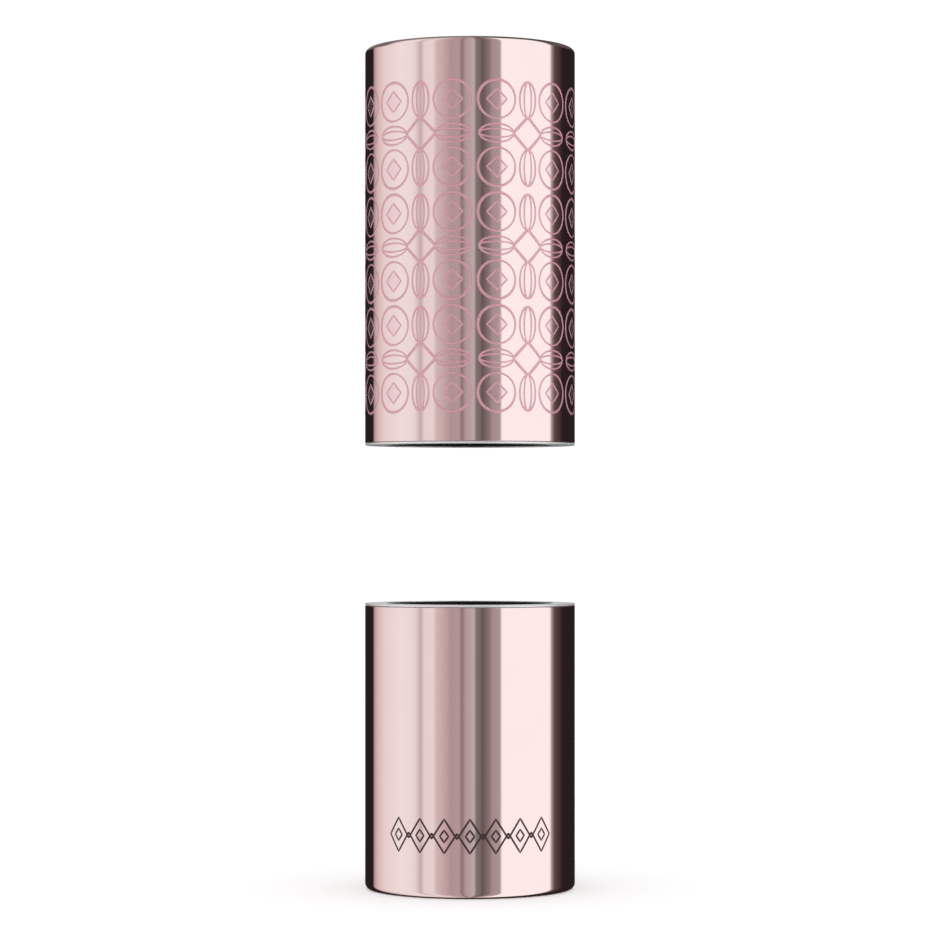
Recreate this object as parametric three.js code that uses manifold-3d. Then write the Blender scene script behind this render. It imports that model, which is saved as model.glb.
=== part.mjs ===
// Lipstick case: a cap and a base, two drawn aluminium cups with plastic liners.
// Millimetres, +Z up. Origin: centre of the base's underside. The cap hangs above
// the base on the same axis, lifted off by REST_GAP.
import * as THREE from 'three';
import * as BufferGeometryUtils from 'three/addons/utils/BufferGeometryUtils.js';
import Module from 'manifold-3d';

const wasm = await Module();
wasm.setup();

// ---- Driving dimensions ----
const SHELL_R = 10.75;        // outer radius of both cups
const SHELL_WALL = 0.5;
const BASE_HEIGHT = 29.2;
const CAP_HEIGHT = 40.5;
const REST_GAP = 16.1;        // from the base's mouth up to the cap's mouth

const CAP_FILLET = 0.5;       // round edge of the cap's closed end
const BASE_FILLET = 0.6;      // round edge of the base's closed end
const CAP_TOP_THICK = 0.7;
const BASE_FLOOR_THICK = 0.95;
const LABEL_RECESS_R = 8.6;   // shallow pressing under the base
const LABEL_RECESS_DEPTH = 0.35;
const LABEL_R = 8.3;
const LABEL_THICK = 0.15;
const LABEL_GAP = 0.05;

const RING_R = 10.72;         // trim ring that finishes each mouth and covers the shell's edge
const RING_BORE_R = 8.55;
const RING_LIP_THICK = 0.2;   // under the shell's edge
const RING_FLANGE_THICK = 0.7;
const RING_NOSE_THICK = 0.1;  // at the bore, where the flange thins to a fine edge
const RING_SKIRT_WALL = 0.4;
const RING_DEPTH = 3.0;
const EDGE_BREAK = 0.08;

const FIT_GAP = 0.15;         // clearance between pieces that are pressed or glued
const LINER_WALL = 1.1;
const LAND_HEIGHT = 3.0;      // raised bands that centre a liner in its cup
const LAND_STEP = 0.2;
const LINER_BORE_R = 8.5;
const LINER_END_THICK = 1.1;  // ceiling of the cap's liner, floor of the base's
const LINER_NOSE_DEPTH = 0.35;
const LINER_NOSE_WIDTH = 0.1;
const SEAT_PAD_R = 6.5;       // low pad on the base liner's floor, inside the drive ribs
const SEAT_PAD_HEIGHT = 0.1;

const CAP_WEIGHT_THICK = 2.0;
const BASE_WEIGHT_THICK = 4.0;
const WEIGHT_CHAMFER = 0.3;

const GRIP_RIB_COUNT = 6;     // ribs in the cap that hold on to the refill's tube
const GRIP_RIB_PROUD = 0.15;
const GRIP_RIB_WIDTH = 1.0;
const GRIP_RIB_HEIGHT = 9.0;
const GRIP_RIB_DEPTH = 1.2;   // from the mouth to the ribs' near ends

const SOCKET_WALL = 1.15;
const SOCKET_HEIGHT = 9.0;
const SOCKET_BEAD_PROUD = 0.2;
const SOCKET_BEAD_HEIGHT = 0.8;
const SOCKET_CHAMFER = 0.2;
const SLOT_COUNT = 4;         // slots that turn the socket's top into snap fingers
const SLOT_WIDTH = 1.2;
const SLOT_DEPTH = 5.5;
const DRIVE_RIB_COUNT = 8;    // ribs that turn the refill's foot with the base
const DRIVE_RIB_PROUD = 0.5;
const DRIVE_RIB_WIDTH = 0.9;
const DRIVE_RIB_HEIGHT = 3.0;

const TURN_SEGMENTS = 60;
const FILLET_STEPS = 4;

// ---- Derived levels and radii ----
const SHELL_BORE_R = SHELL_R - SHELL_WALL;
const INSERT_R = SHELL_BORE_R - FIT_GAP;
const SHELL_EDGE_DEPTH = RING_LIP_THICK + 0.05;
const CAP_MOUTH_Z = BASE_HEIGHT + REST_GAP;
const CAP_TOP_Z = CAP_MOUTH_Z + CAP_HEIGHT;
const CAP_WEIGHT_TOP_Z = CAP_TOP_Z - CAP_TOP_THICK - FIT_GAP;
const CAP_LINER_TOP_Z = CAP_WEIGHT_TOP_Z - CAP_WEIGHT_THICK - FIT_GAP;
const BASE_WEIGHT_Z = BASE_FLOOR_THICK + FIT_GAP;
const BASE_LINER_Z = BASE_WEIGHT_Z + BASE_WEIGHT_THICK + FIT_GAP;
const SOCKET_Z = BASE_LINER_Z + LINER_END_THICK + FIT_GAP;
const SOCKET_R = LINER_BORE_R - FIT_GAP;
const SOCKET_BORE_R = SOCKET_R - SOCKET_WALL;
const RIB_ROOT = 0.4;         // how far a rib reaches into the wall it stands on

// ---- Finishes ----
function finish(color, roughness, metalness) {
  return new THREE.MeshStandardMaterial({ color, roughness, metalness });
}

const roseMetal = () => finish(0xe6c3c2, 0.08, 1.0);
const silverTrim = () => finish(0xc9c9cb, 0.2, 1.0);
const blackPlastic = () => finish(0x0d0d0e, 0.35, 0.0);
const greyPlastic = () => finish(0x3a3a3d, 0.45, 0.0);
const steel = () => finish(0x8f9296, 0.35, 1.0);
const whiteLabel = () => finish(0xe9e6e2, 0.5, 0.0);

// ---- Helpers ----

// Twice the area inside a closed outline, positive when it runs anticlockwise.
function windingOf(points) {
  return points.reduce((sum, [r, z], i) => {
    const [nextR, nextZ] = points[(i + 1) % points.length];
    return sum + r * nextZ - nextR * z;
  }, 0);
}

// A solid of revolution about +Z. A profile that starts away from the axis is a ring.
function turned(profile) {
  const points = windingOf(profile) > 0 ? [...profile] : [...profile].reverse();
  const isRing = points[0][0] > 0 && points[points.length - 1][0] > 0;
  if (isRing) points.push(points[0]);
  const outline = points.map(([r, z]) => new THREE.Vector2(r, z));
  return new THREE.LatheGeometry(outline, TURN_SEGMENTS).rotateX(Math.PI / 2);
}

// A quarter-round from one angle to another, both in degrees from the +R direction.
function quarterRound(centreR, centreZ, radius, fromDeg, toDeg) {
  return Array.from({ length: FILLET_STEPS + 1 }, (_, i) => {
    const angle = THREE.MathUtils.degToRad(fromDeg + (toDeg - fromDeg) * i / FILLET_STEPS);
    return [centreR + radius * Math.cos(angle), centreZ + radius * Math.sin(angle)];
  });
}

function toSolid(geometry) {
  const bare = geometry.index ? geometry.clone() : geometry;
  bare.deleteAttribute('normal');
  bare.deleteAttribute('uv');
  const merged = BufferGeometryUtils.mergeVertices(bare, 1e-5);
  const corners = [];
  for (let i = 0; i < merged.index.count; i += 3) {
    const [a, b, c] = [0, 1, 2].map((k) => merged.index.getX(i + k));
    if (a !== b && b !== c && c !== a) corners.push(a, b, c);
  }
  const vertProperties = new Float32Array(merged.attributes.position.array);
  const triVerts = new Uint32Array(corners);
  return new wasm.Manifold(new wasm.Mesh({ numProp: 3, vertProperties, triVerts }));
}

function toGeometry(solid) {
  const mesh = solid.getMesh();
  const geometry = new THREE.BufferGeometry();
  geometry.setAttribute('position', new THREE.BufferAttribute(mesh.vertProperties, 3));
  geometry.setIndex(new THREE.BufferAttribute(mesh.triVerts, 1));
  geometry.computeVertexNormals();
  return geometry;
}

// Upright bars spread evenly round the axis, from one radius to another.
function barsAround(count, innerR, outerR, width, z, height, startDeg = 0) {
  return Array.from({ length: count }, (_, i) => {
    const bar = new THREE.BoxGeometry(outerR - innerR, width, height);
    bar.translate((innerR + outerR) / 2, 0, z + height / 2);
    bar.rotateZ(THREE.MathUtils.degToRad(startDeg + 360 * i / count));
    return toSolid(bar);
  });
}

function piece(name, geometry, material) {
  const mesh = new THREE.Mesh(geometry, material);
  mesh.name = name;
  return mesh;
}

// ---- Cap ----
function capShell() {
  const edgeZ = CAP_MOUTH_Z + SHELL_EDGE_DEPTH;
  return turned([
    [0, CAP_TOP_Z - CAP_TOP_THICK],
    [SHELL_BORE_R, CAP_TOP_Z - CAP_TOP_THICK],
    [SHELL_BORE_R, edgeZ],
    [SHELL_R - EDGE_BREAK, edgeZ],
    [SHELL_R, edgeZ + EDGE_BREAK],
    ...quarterRound(SHELL_R - CAP_FILLET, CAP_TOP_Z - CAP_FILLET, CAP_FILLET, 0, 90),
    [0, CAP_TOP_Z],
  ]);
}

// A liner's outline, from its open end to its closed end, as [radius, depth below the
// mouth]. Its nose fits behind the ring's thin flange, and it steps in behind the skirt.
function linerOutline(length) {
  const skirtSideR = INSERT_R - RING_SKIRT_WALL - FIT_GAP;
  const flangeClear = RING_FLANGE_THICK + FIT_GAP;
  const bevel = flangeClear - LINER_NOSE_DEPTH;
  const stepDepth = RING_DEPTH + FIT_GAP;
  const wallR = LINER_BORE_R + LINER_WALL;
  return [
    [0, length - LINER_END_THICK],
    [LINER_BORE_R, length - LINER_END_THICK],
    [LINER_BORE_R, LINER_NOSE_DEPTH],
    [LINER_BORE_R + LINER_NOSE_WIDTH, LINER_NOSE_DEPTH],
    [LINER_BORE_R + LINER_NOSE_WIDTH + bevel, flangeClear],
    [skirtSideR, flangeClear],
    [skirtSideR, stepDepth],
    [INSERT_R, stepDepth],
    [INSERT_R, stepDepth + LAND_HEIGHT],
    [wallR, stepDepth + LAND_HEIGHT + LAND_STEP],
    [wallR, length - LAND_HEIGHT - LAND_STEP],
    [INSERT_R, length - LAND_HEIGHT],
    [INSERT_R, length],
    [0, length],
  ];
}

function capLiner() {
  const outline = linerOutline(CAP_LINER_TOP_Z - CAP_MOUTH_Z);
  const body = toSolid(turned(outline.map(([r, depth]) => [r, CAP_MOUTH_Z + depth])));
  const ribs = barsAround(GRIP_RIB_COUNT, LINER_BORE_R - GRIP_RIB_PROUD,
    LINER_BORE_R + RIB_ROOT, GRIP_RIB_WIDTH, CAP_MOUTH_Z + GRIP_RIB_DEPTH, GRIP_RIB_HEIGHT);
  return toGeometry(ribs.reduce((solid, rib) => solid.add(rib), body));
}

function weightDisc(z, thick) {
  return turned([
    [0, z],
    [INSERT_R - WEIGHT_CHAMFER, z],
    [INSERT_R, z + WEIGHT_CHAMFER],
    [INSERT_R, z + thick - WEIGHT_CHAMFER],
    [INSERT_R - WEIGHT_CHAMFER, z + thick],
    [0, z + thick],
  ]);
}

// A stepped ring: a flange that closes the gap between shell and liner and a skirt that
// reaches inside the cup. inward is +1 for the cap, which opens down, and -1 for the base.
function mouthRing(mouthZ, inward) {
  const level = (depth) => mouthZ + inward * depth;
  const taper = RING_FLANGE_THICK - RING_NOSE_THICK;
  return turned([
    [RING_BORE_R, level(0)],
    [RING_R - EDGE_BREAK, level(0)],
    [RING_R, level(EDGE_BREAK)],
    [RING_R, level(RING_LIP_THICK)],
    [INSERT_R, level(RING_LIP_THICK)],
    [INSERT_R, level(RING_DEPTH)],
    [INSERT_R - RING_SKIRT_WALL, level(RING_DEPTH)],
    [INSERT_R - RING_SKIRT_WALL, level(RING_FLANGE_THICK)],
    [RING_BORE_R + taper, level(RING_FLANGE_THICK)],
    [RING_BORE_R, level(RING_NOSE_THICK)],
  ]);
}

// ---- Base ----
function baseShell() {
  const edgeZ = BASE_HEIGHT - SHELL_EDGE_DEPTH;
  return turned([
    [0, LABEL_RECESS_DEPTH],
    [LABEL_RECESS_R, LABEL_RECESS_DEPTH],
    [LABEL_RECESS_R, 0],
    ...quarterRound(SHELL_R - BASE_FILLET, BASE_FILLET, BASE_FILLET, -90, 0),
    [SHELL_R, edgeZ - EDGE_BREAK],
    [SHELL_R - EDGE_BREAK, edgeZ],
    [SHELL_BORE_R, edgeZ],
    [SHELL_BORE_R, BASE_FLOOR_THICK],
    [0, BASE_FLOOR_THICK],
  ]);
}

// The base's liner has a pad in the middle of its floor, which the refill's foot stands on.
function baseLiner() {
  const length = BASE_HEIGHT - BASE_LINER_Z;
  const floorDepth = length - LINER_END_THICK;
  const padDepth = floorDepth - SEAT_PAD_HEIGHT;
  const pad = [[0, padDepth], [SEAT_PAD_R, padDepth], [SEAT_PAD_R, floorDepth]];
  const outline = [...pad, ...linerOutline(length).slice(1)];
  return turned(outline.map(([r, depth]) => [r, BASE_HEIGHT - depth]));
}

// A ring with a snap bead round the top, cut into fingers, and drive ribs round its foot.
function refillSocket() {
  const top = SOCKET_Z + SOCKET_HEIGHT;
  const beadMiddle = top - SOCKET_BEAD_HEIGHT / 2;
  const body = toSolid(turned([
    [SOCKET_BORE_R, SOCKET_Z],
    [SOCKET_R, SOCKET_Z],
    [SOCKET_R, top - SOCKET_CHAMFER],
    [SOCKET_R - SOCKET_CHAMFER, top],
    [SOCKET_BORE_R, top],
    [SOCKET_BORE_R - SOCKET_BEAD_PROUD, beadMiddle],
    [SOCKET_BORE_R, top - SOCKET_BEAD_HEIGHT],
  ]));
  const ribs = barsAround(DRIVE_RIB_COUNT, SOCKET_BORE_R - DRIVE_RIB_PROUD,
    SOCKET_BORE_R + RIB_ROOT, DRIVE_RIB_WIDTH, SOCKET_Z, DRIVE_RIB_HEIGHT);
  const slots = barsAround(SLOT_COUNT, SOCKET_BORE_R - 1, SOCKET_R + 1, SLOT_WIDTH,
    top - SLOT_DEPTH, SLOT_DEPTH + 1, 180 / DRIVE_RIB_COUNT);
  const ribbed = ribs.reduce((solid, rib) => solid.add(rib), body);
  return toGeometry(slots.reduce((solid, slot) => solid.subtract(slot), ribbed));
}

function bottomLabel() {
  const top = LABEL_RECESS_DEPTH - LABEL_GAP;
  return turned([
    [0, top - LABEL_THICK],
    [LABEL_R, top - LABEL_THICK],
    [LABEL_R, top],
    [0, top],
  ]);
}

// ---- Assembly ----
const cap = new THREE.Group();
cap.add(
  piece('cap_shell', capShell(), roseMetal()),
  piece('cap_mouth_ring', mouthRing(CAP_MOUTH_Z, 1), silverTrim()),
  piece('cap_liner', capLiner(), blackPlastic()),
  piece('cap_weight', weightDisc(CAP_WEIGHT_TOP_Z - CAP_WEIGHT_THICK, CAP_WEIGHT_THICK), steel()),
);

const base = new THREE.Group();
base.add(
  piece('base_shell', baseShell(), roseMetal()),
  piece('base_mouth_ring', mouthRing(BASE_HEIGHT, -1), silverTrim()),
  piece('base_liner', baseLiner(), blackPlastic()),
  piece('refill_socket', refillSocket(), greyPlastic()),
  piece('base_weight', weightDisc(BASE_WEIGHT_Z, BASE_WEIGHT_THICK), steel()),
  piece('bottom_label', bottomLabel(), whiteLabel()),
);

const lipstickCase = new THREE.Group();
lipstickCase.add(base, cap);

export default lipstickCase;
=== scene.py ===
# %% [markdown]
# # A refillable lipstick case
# A cap and a base, each a mirror-bright rose-gold metal cup with a black moulded liner and
# a silver ring round its mouth. The design, its sizes and its one joint come from the
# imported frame. This notebook gives every piece its fine surface, its ornament and its
# finish. Lengths are written in millimetres and turned into metres in one place.

# %% Load the frame
import math

import bmesh
import bpy
from mathutils import Matrix, Vector


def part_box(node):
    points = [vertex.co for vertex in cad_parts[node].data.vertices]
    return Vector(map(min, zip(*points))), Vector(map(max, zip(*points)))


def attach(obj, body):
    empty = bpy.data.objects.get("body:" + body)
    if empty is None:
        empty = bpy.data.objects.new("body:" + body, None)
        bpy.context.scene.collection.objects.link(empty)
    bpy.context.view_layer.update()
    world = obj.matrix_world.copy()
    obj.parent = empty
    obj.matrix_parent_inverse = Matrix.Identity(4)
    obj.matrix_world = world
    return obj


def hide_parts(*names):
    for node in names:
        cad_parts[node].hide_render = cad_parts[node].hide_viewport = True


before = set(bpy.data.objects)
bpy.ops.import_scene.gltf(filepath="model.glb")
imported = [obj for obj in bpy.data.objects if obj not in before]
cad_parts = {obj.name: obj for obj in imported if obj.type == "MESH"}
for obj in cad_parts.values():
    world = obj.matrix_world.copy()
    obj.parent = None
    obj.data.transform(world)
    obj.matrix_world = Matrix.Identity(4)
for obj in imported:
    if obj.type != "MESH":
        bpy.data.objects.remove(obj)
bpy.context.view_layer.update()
print("CAD nodes:", sorted(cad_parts))

# %% [markdown]
# ## Sizes
# A visible surface has to lie where the frame says, so the levels and radii are read from
# the boxes of the CAD nodes. Only the small details, such as a rounded edge or a line's
# height, are set here. The shells sit a hair inside the frame's radius, because the inlaid
# lines stand out from the metal by that much.

# %% Levels and radii
MM = 0.001


def span(node):
    """Lowest and highest level of a CAD node, and its outer radius, in millimetres."""
    low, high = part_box(node)
    return low.z / MM, high.z / MM, high.x / MM


cap_edge, cap_top, case_radius = span("cap_shell")
cap_mouth = span("cap_mouth_ring")[0]
base_floor, base_edge, _ = span("base_shell")
base_mouth = span("base_mouth_ring")[1]
insert_radius = span("cap_weight")[2]
cap_ceiling = span("cap_liner")[1]
base_seat = span("base_liner")[0]
socket_foot, socket_top, socket_radius = span("refill_socket")
label_low, label_high, label_radius = span("bottom_label")

LINE_RELIEF = 0.016          # how far the inlaid lines stand out from the metal
shell_radius = case_radius - LINE_RELIEF
print(f"cap {cap_mouth:.2f} to {cap_top:.2f}, base 0 to {base_mouth:.2f}, radius {case_radius}")

# %% [markdown]
# ## Writing node trees as sums
# A finish needs dozens of small calculations, and a shape made by Geometry Nodes needs as
# many. `Value` wraps one output of a node, so that `1 - mask * 0.5` adds the Math nodes by
# itself. `Nodes.add` makes any other node: its settings first, then its sockets, each a
# plain number or a link. Colours go through `mix`, because a Math node turns them grey.

# %% Helpers for node trees
class Value:
    """One output of a node, which can be used in a sum."""

    def __init__(self, nodes, socket):
        self.nodes, self.socket = nodes, socket

    def other(self, name):
        return Value(self.nodes, self.socket.node.outputs[name])

    def __add__(self, term):
        return self.nodes.math("ADD", self, term)

    def __sub__(self, term):
        return self.nodes.math("SUBTRACT", self, term)

    def __mul__(self, term):
        return self.nodes.math("MULTIPLY", self, term)

    def __truediv__(self, term):
        return self.nodes.math("DIVIDE", self, term)

    def __radd__(self, term):
        return self.nodes.math("ADD", term, self)

    def __rsub__(self, term):
        return self.nodes.math("SUBTRACT", term, self)

    def __rmul__(self, term):
        return self.nodes.math("MULTIPLY", term, self)

    def __gt__(self, term):
        return self.nodes.math("GREATER_THAN", self, term)

    def __lt__(self, term):
        return self.nodes.math("LESS_THAN", self, term)


class Nodes:
    """A node tree that is written line by line."""

    def __init__(self, tree):
        self.tree = tree

    def add(self, kind, settings=None, sockets=None, output=0):
        node = self.tree.nodes.new(kind)
        for name, setting in (settings or {}).items():
            if name == "stops":
                self._set_stops(node.color_ramp, setting)
            else:
                setattr(node, name, setting)
        for name, given in (sockets or {}).items():
            if isinstance(given, Value):
                self.tree.links.new(given.socket, node.inputs[name])
            else:
                node.inputs[name].default_value = given
        return Value(self, node.outputs[output]) if node.outputs else node

    @staticmethod
    def _set_stops(ramp, stops):
        for _ in range(len(stops) - 2):
            ramp.elements.new(0.5)
        for element, (place, shade) in zip(ramp.elements, sorted(stops)):
            element.position = place
            element.color = (*shade, 1.0) if isinstance(shade, tuple) else (shade,) * 3 + (1.0,)

    def math(self, operation, *terms):
        return self.add("ShaderNodeMath", {"operation": operation}, dict(enumerate(terms)))

    def mix(self, share, first, second):
        return self.add("ShaderNodeMix", {"data_type": "RGBA"}, {0: share, 6: first, 7: second}, 2)

    def ramp_between(self, low, high, value):
        """0 below low, 1 above high, and smooth in between."""
        return self.add("ShaderNodeMapRange", {"interpolation_type": "SMOOTHSTEP"},
                        {"Value": value, "From Min": low, "From Max": high})

    def split(self, vector):
        x = self.add("ShaderNodeSeparateXYZ", {}, {0: vector}, "X")
        return x, x.other("Y"), x.other("Z")

    def join_xyz(self, x, y, z):
        return self.add("ShaderNodeCombineXYZ", {}, {0: x, 1: y, 2: z})


def rgb(red, green, blue):
    return (red, green, blue, 1.0)


print("node helpers ready")

# %% [markdown]
# ## Recipes
# A recipe is a Geometry Nodes tree with named sizes. It is put on an object as a modifier,
# its inputs are set by their identifiers, and the evaluated result is kept as a plain mesh.
# Every recipe ends in Realize Instances and Set Material, so nothing is left to chance.

# %% A recipe and how to run it
KINDS = {int: "NodeSocketInt", float: "NodeSocketFloat"}


class Recipe(Nodes):
    """A Geometry Nodes tree with named sizes and one finish."""

    def __init__(self, name, **sizes):
        super().__init__(bpy.data.node_groups.new(name, "GeometryNodeTree"))
        face = self.tree.interface
        face.new_socket("Geometry", in_out="OUTPUT", socket_type="NodeSocketGeometry")
        face.new_socket("Geometry", in_out="INPUT", socket_type="NodeSocketGeometry")
        face.new_socket("Finish", in_out="INPUT", socket_type="NodeSocketMaterial")
        for size, default in sizes.items():
            socket = face.new_socket(size, in_out="INPUT", socket_type=KINDS[type(default)])
            socket.default_value = default
        self.entry = self.tree.nodes.new("NodeGroupInput")
        self.source = self.size("Geometry")

    def size(self, name):
        return Value(self, self.entry.outputs[name])

    def finished(self, geometry):
        whole = self.add("GeometryNodeRealizeInstances", {}, {"Geometry": geometry})
        named = self.add("GeometryNodeSetMaterial", {},
                         {"Geometry": whole, "Material": self.size("Finish")})
        self.add("NodeGroupOutput", {}, {0: named})


def run_recipe(recipe, name, finish, mesh=None, **sizes):
    """Runs a recipe on a mesh and returns a plain object with the result."""
    source = bpy.data.objects.new(name + "_source", mesh or bpy.data.meshes.new(name + "_source"))
    bpy.context.scene.collection.objects.link(source)
    modifier = source.modifiers.new("recipe", "NODES")
    modifier.node_group = recipe.tree
    for item in recipe.tree.interface.items_tree:
        if item.in_out == "INPUT" and item.name == "Finish":
            modifier[item.identifier] = finish
        elif item.in_out == "INPUT" and item.name in sizes:
            modifier[item.identifier] = sizes[item.name]
    depsgraph = bpy.context.evaluated_depsgraph_get()
    result = bpy.data.meshes.new_from_object(source.evaluated_get(depsgraph))
    bpy.data.objects.remove(source)
    result.name = name
    result.materials.clear()
    result.materials.append(finish)
    result.polygons.foreach_set("material_index", [0] * len(result.polygons))
    piece = bpy.data.objects.new(name, result)
    bpy.context.scene.collection.objects.link(piece)
    print(f"{name}: {len(result.polygons)} faces")
    return piece


print("recipe sizes may be:", ", ".join(kind.__name__ for kind in KINDS))

# %% [markdown]
# ## Turning
# Nearly everything here is turned about one axis. The recipe bends a plain grid: one side
# of the grid counts the steps round the axis, and the other reads the outline's points.
# Welding closes the seam and the poles. Edges sharper than a set angle stay crisp, and the
# rest is smooth.

# %% The lathe recipe
lathe = Recipe("lathe", **{"Steps Round": 256, "Crisp Above": math.radians(35.0)})
outline_length = lathe.add("GeometryNodeAttributeDomainSize", {}, {0: lathe.source})
steps_round = lathe.size("Steps Round")
blank = lathe.add("GeometryNodeMeshGrid", {},
                  {"Vertices X": steps_round + 1, "Vertices Y": outline_length})
counter = lathe.add("GeometryNodeInputIndex")
turn_step = lathe.math("FLOOR", (counter + 0.5) * lathe.math("DIVIDE", 1.0, outline_length))
outline_point = lathe.add(
    "GeometryNodeSampleIndex", {"data_type": "FLOAT_VECTOR"},
    {"Geometry": lathe.source, "Value": lathe.add("GeometryNodeInputPosition"),
     "Index": counter - turn_step * outline_length})
out_x, _, out_z = lathe.split(outline_point)
turn_angle = turn_step * math.tau / steps_round
on_circle = lathe.join_xyz(out_x * lathe.math("COSINE", turn_angle),
                           out_x * lathe.math("SINE", turn_angle), out_z)
bent = lathe.add("GeometryNodeSetPosition", {}, {"Geometry": blank, "Position": on_circle})
WELD = 1e-7
welded = lathe.add("GeometryNodeMergeByDistance", {}, {"Geometry": bent, "Distance": WELD})
smooth = lathe.add("GeometryNodeSetShadeSmooth", {}, {"Geometry": welded})
edge_angle = lathe.add("GeometryNodeInputMeshEdgeAngle")
crisp = lathe.add("GeometryNodeSetShadeSmooth", {"domain": "EDGE"},
                  {"Geometry": smooth, "Selection": edge_angle > lathe.size("Crisp Above"),
                   "Shade Smooth": False})
lathe.finished(crisp)
print("lathe nodes:", len(lathe.tree.nodes))

# %% [markdown]
# An outline is a list of corners, each with the radius it is rounded to. A mirror finish
# shows the smallest error in a normal, so each rounded corner gets a short straight stretch
# before and after it. That stretch keeps the long wall beside it perfectly straight.

# %% Outlines with rounded corners
HOLD = 0.02                  # length of the straight stretch beside a rounded corner
ROUND_STEPS = 8


def rounded_corner(before, corner, after, radius):
    """The points that replace one corner."""
    inward = (corner - before).normalized()
    outward = (after - corner).normalized()
    turn = inward.angle_signed(outward)
    cut = radius * math.tan(abs(turn) / 2)
    side = Vector((inward.y, -inward.x)) * (1 if turn > 0 else -1)
    centre = corner - inward * cut + side * radius
    points = [corner - inward * (cut + HOLD)]
    for i in range(ROUND_STEPS + 1):
        share = turn * i / ROUND_STEPS
        spoke = -side * radius
        points.append(centre + Vector((
            spoke.x * math.cos(share) + spoke.y * math.sin(share),
            -spoke.x * math.sin(share) + spoke.y * math.cos(share))))
    points.append(corner + outward * (cut + HOLD))
    return points


def outline(corners):
    """Rounds the corners given as (radius, level, rounding), anticlockwise."""
    spots = [Vector(corner[:2]) for corner in corners]
    area = sum(a.x * b.y - b.x * a.y for a, b in zip(spots, spots[1:] + spots[:1]))
    if area < 0:
        corners, spots = corners[::-1], spots[::-1]
    points = []
    for i, corner in enumerate(corners):
        rounding = corner[2] if len(corner) > 2 else 0
        if rounding:
            points += rounded_corner(spots[i - 1], spots[i], spots[(i + 1) % len(spots)], rounding)
        else:
            points.append(spots[i])
    is_ring = spots[0].x > 0 and spots[-1].x > 0
    return points + points[:1] if is_ring else points


def turn(name, finish, corners):
    """Turns an outline on the lathe."""
    points = [(p.x * MM, 0.0, p.y * MM) for p in outline(corners)]
    mesh = bpy.data.meshes.new(name + "_outline")
    mesh.from_pydata(points, [(i, i + 1) for i in range(len(points) - 1)], [])
    return run_recipe(lathe, name, finish, mesh)


def settle(piece, body, slot, *nodes):
    """Puts a piece on its body, in place of its CAD nodes. The slot argument is not used."""
    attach(piece, body)
    if nodes:
        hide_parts(*nodes)


print("rounded corners in", ROUND_STEPS, "steps")

# %% [markdown]
# ## Finishes
# Each finish starts as a Principled shader. Whatever varies over a surface, such as grain,
# wear or dust, is worked out from Object coordinates and feeds colour, roughness or a bump.
# What is the same everywhere is set straight on the shader's own socket.

# %% A finish and its measuring points
def new_finish(name):
    material = bpy.data.materials.new(name + "_finish")
    material.use_nodes = True
    material.node_tree.nodes.clear()
    return material, Nodes(material.node_tree)


def place_on_piece(nodes):
    """The point on the piece in metres, then its level and radius in millimetres."""
    place = nodes.add("ShaderNodeTexCoord", output="Object")
    x, y, z = nodes.split(place)
    return place, z * (1 / MM), nodes.math("SQRT", x * x + y * y) * (1 / MM)


def grain(nodes, place, scale, detail=2.0, rough=0.5):
    """Noise between 0 and 1. The scale is in lumps per millimetre."""
    return nodes.add("ShaderNodeTexNoise", {},
                     {"Vector": place, "Scale": scale / MM, "Detail": detail, "Roughness": rough})


def stretched(nodes, place, x=1.0, y=1.0, z=1.0):
    return nodes.add("ShaderNodeMapping", {}, {"Vector": place, "Scale": (x, y, z)})


def bumped(nodes, height, depth, strength=1.0):
    """A bump whose height of 1 is that many millimetres."""
    return nodes.add("ShaderNodeBump", {},
                     {"Height": height, "Distance": depth * MM, "Strength": strength})


def close_finish(nodes, colour, roughness, normal=None, metallic=0.0, **constants):
    """Joins a finish to the output. Constants are named as the shader's sockets."""
    sockets = {"Base Color": colour, "Roughness": roughness, "Metallic": metallic}
    sockets.update({name.replace("_", " "): value for name, value in constants.items()})
    if normal:
        sockets["Normal"] = normal
    shader = nodes.add("ShaderNodeBsdfPrincipled", {}, sockets)
    nodes.add("ShaderNodeOutputMaterial", {}, {"Surface": shader})


finishes = {}


def keep(name, material):
    """Files a finish under its name, for the pieces that use it."""
    finishes[name] = material
    print(f"{name}: {len(material.node_tree.nodes)} nodes")


print("finish helpers ready")

# %% [markdown]
# The rose-gold metal is bright-dipped, anodised and dyed aluminium. It is nearly a mirror,
# so its finish is mostly in what it reflects. Up close it has a fine upright grain from
# drawing, faint handling marks, and a slightly paler tone where the dye is thin on the
# rounded edges.

# %% Rose-gold anodised metal
EDGE_WEAR_REACH = 0.7        # how far from a rounded edge the colour thins


def rose_metal():
    material, nodes = new_finish("rose_gold_metal")
    place, level, _ = place_on_piece(nodes)
    drawn = grain(nodes, stretched(nodes, place, z=0.02), 9.0, detail=3.0)
    cloud = grain(nodes, place, 0.22, detail=2.0)
    marks = grain(nodes, stretched(nodes, place, z=0.35), 1.6, detail=6.0, rough=0.7)
    handled = nodes.ramp_between(0.60, 0.74, marks)
    top_edge = nodes.ramp_between(cap_top - EDGE_WEAR_REACH, cap_top, level)
    foot_edge = 1 - nodes.ramp_between(base_floor, base_floor + EDGE_WEAR_REACH, level)
    worn = (top_edge + foot_edge) * nodes.ramp_between(0.42, 0.62, grain(nodes, place, 2.6))
    tone = nodes.mix(cloud, rgb(0.945, 0.785, 0.775), rgb(0.965, 0.805, 0.797))
    tone = nodes.mix(worn * 0.35, tone, rgb(0.96, 0.87, 0.85))
    roughness = 0.02 + drawn * 0.02 + handled * 0.05 + worn * 0.05
    close_finish(nodes, tone, roughness, bumped(nodes, drawn, 0.00002), metallic=1.0)
    return material


keep("rose_gold_metal", rose_metal())

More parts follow.
